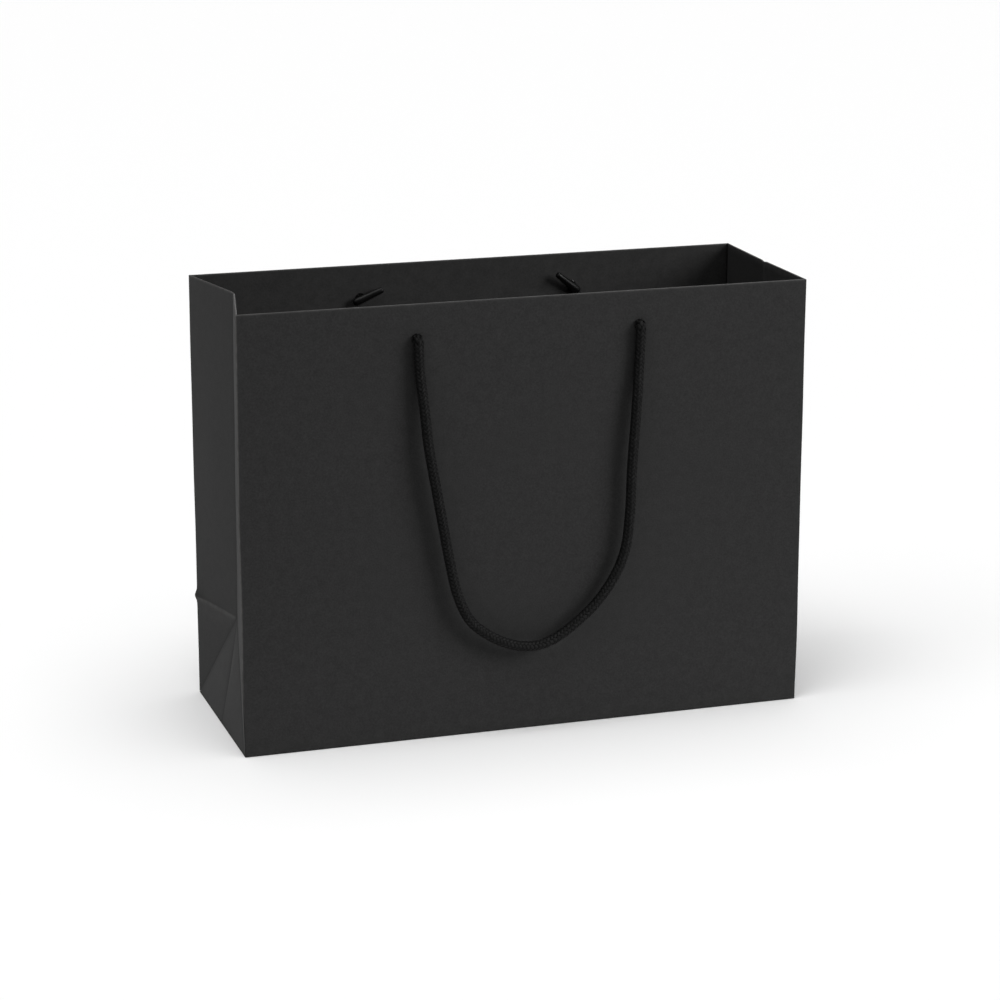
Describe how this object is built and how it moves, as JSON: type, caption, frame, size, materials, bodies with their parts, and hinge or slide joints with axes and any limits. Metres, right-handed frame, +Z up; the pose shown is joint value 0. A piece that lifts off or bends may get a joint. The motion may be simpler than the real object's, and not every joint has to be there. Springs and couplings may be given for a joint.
{
  "type": "paper carrier bag",
  "caption": "Open-topped landscape gift bag of stiff matt black paper with folding side gussets, a board base and rope handles held inside by moulded toggles",
  "frame": {"origin": "middle of the bottom, on the floor", "axes": "+X along the width, +Y from the front panel to the back panel, +Z up"},
  "size_m": [0.33, 0.1378, 0.25],
  "materials": {
    "black_paper": "uncoated matt, dyed black, fine fibre",
    "grey_card": "plain grey board",
    "black_rope": "braided black cord, soft sheen",
    "black_plastic": "moulded black plastic"
  },
  "bodies": {
    "bag": {"base_front_flap": "black_paper", "base_back_flap": "black_paper", "base_left_flap": "black_paper", "base_right_flap": "black_paper", "base_board": "grey_card", "front_panel": "black_paper", "front_top_card": "grey_card", "back_panel": "black_paper", "back_top_card": "grey_card", "back_foot_panel": "black_paper", "seam_flap": "black_paper"},
    "front_handle": {"front_rope": "black_rope"},
    "back_handle": {"back_rope": "black_rope"},
    "left_gusset_front": {"left_gusset_front": "black_paper"},
    "left_gusset_back": {"left_gusset_back": "black_paper", "left_corner_triangle": "black_paper"},
    "left_foot": {"left_foot_triangle": "black_paper"},
    "right_gusset_front": {"right_gusset_front": "black_paper"},
    "right_gusset_back": {"right_gusset_back": "black_paper", "right_corner_triangle": "black_paper"},
    "right_foot": {"right_foot_triangle": "black_paper"},
    "front_left_end": {"front_left_toggle": "black_plastic", "front_left_rope_tail": "black_rope"},
    "front_right_end": {"front_right_toggle": "black_plastic", "front_right_rope_tail": "black_rope"},
    "back_left_end": {"back_left_toggle": "black_plastic", "back_left_rope_tail": "black_rope"},
    "back_right_end": {"back_right_toggle": "black_plastic", "back_right_rope_tail": "black_rope"}
  },
  "joints": [
    {"name": "front_handle_swing", "type": "hinge", "parent": "bag", "child": "front_handle", "pos_m": [0, -0.0621, 0.2305], "axis": [-1, 0, 0], "range_deg": [0, 180]},
    {"name": "back_handle_swing", "type": "hinge", "parent": "bag", "child": "back_handle", "pos_m": [0, 0.0621, 0.2305], "axis": [1, 0, 0], "range_deg": [0, 180]},
    {"name": "left_gusset_fold", "type": "hinge", "parent": "bag", "child": "left_gusset_front", "pos_m": [-0.1646, -0.0586, 0.125], "axis": [0, 0, -1], "range_deg": [-10, 0]},
    {"name": "left_gusset_back_fold", "type": "hinge", "parent": "bag", "child": "left_gusset_back", "pos_m": [-0.1639, 0.0586, 0.125], "axis": [0, 0, 1], "range_deg": [-10, 0]},
    {"name": "left_foot_fold", "type": "hinge", "parent": "bag", "child": "left_foot", "pos_m": [-0.1646, 0, 0.0004], "axis": [0, 1, 0], "range_deg": [-10, 0]},
    {"name": "right_gusset_fold", "type": "hinge", "parent": "bag", "child": "right_gusset_front", "pos_m": [0.1646, -0.0586, 0.125], "axis": [0, 0, 1], "range_deg": [0, 10]},
    {"name": "right_gusset_back_fold", "type": "hinge", "parent": "bag", "child": "right_gusset_back", "pos_m": [0.1639, 0.0586, 0.125], "axis": [0, 0, -1], "range_deg": [0, 10]},
    {"name": "right_foot_fold", "type": "hinge", "parent": "bag", "child": "right_foot", "pos_m": [0.1646, 0, 0.0004], "axis": [0, -1, 0], "range_deg": [0, 10]},
    {"name": "front_left_toggle_swivel", "type": "hinge", "parent": "bag", "child": "front_left_end", "pos_m": [-0.0645, -0.0538, 0.2305], "axis": [0, 1, 0], "range_deg": [-90, 90]},
    {"name": "front_right_toggle_swivel", "type": "hinge", "parent": "bag", "child": "front_right_end", "pos_m": [0.0645, -0.0538, 0.2305], "axis": [0, 1, 0], "range_deg": [-90, 90]},
    {"name": "back_left_toggle_swivel", "type": "hinge", "parent": "bag", "child": "back_left_end", "pos_m": [-0.0645, 0.0538, 0.2305], "axis": [0, 1, 0], "range_deg": [-90, 90]},
    {"name": "back_right_toggle_swivel", "type": "hinge", "parent": "bag", "child": "back_right_end", "pos_m": [0.0645, 0.0538, 0.2305], "axis": [0, 1, 0], "range_deg": [-90, 90]}
  ],
  "couplings": [
    {"joint": "left_gusset_back_fold", "follows": "left_gusset_fold", "ratio": 1},
    {"joint": "left_foot_fold", "follows": "left_gusset_fold", "ratio": 1},
    {"joint": "right_gusset_back_fold", "follows": "right_gusset_fold", "ratio": 1},
    {"joint": "right_foot_fold", "follows": "right_gusset_fold", "ratio": 1}
  ]
}
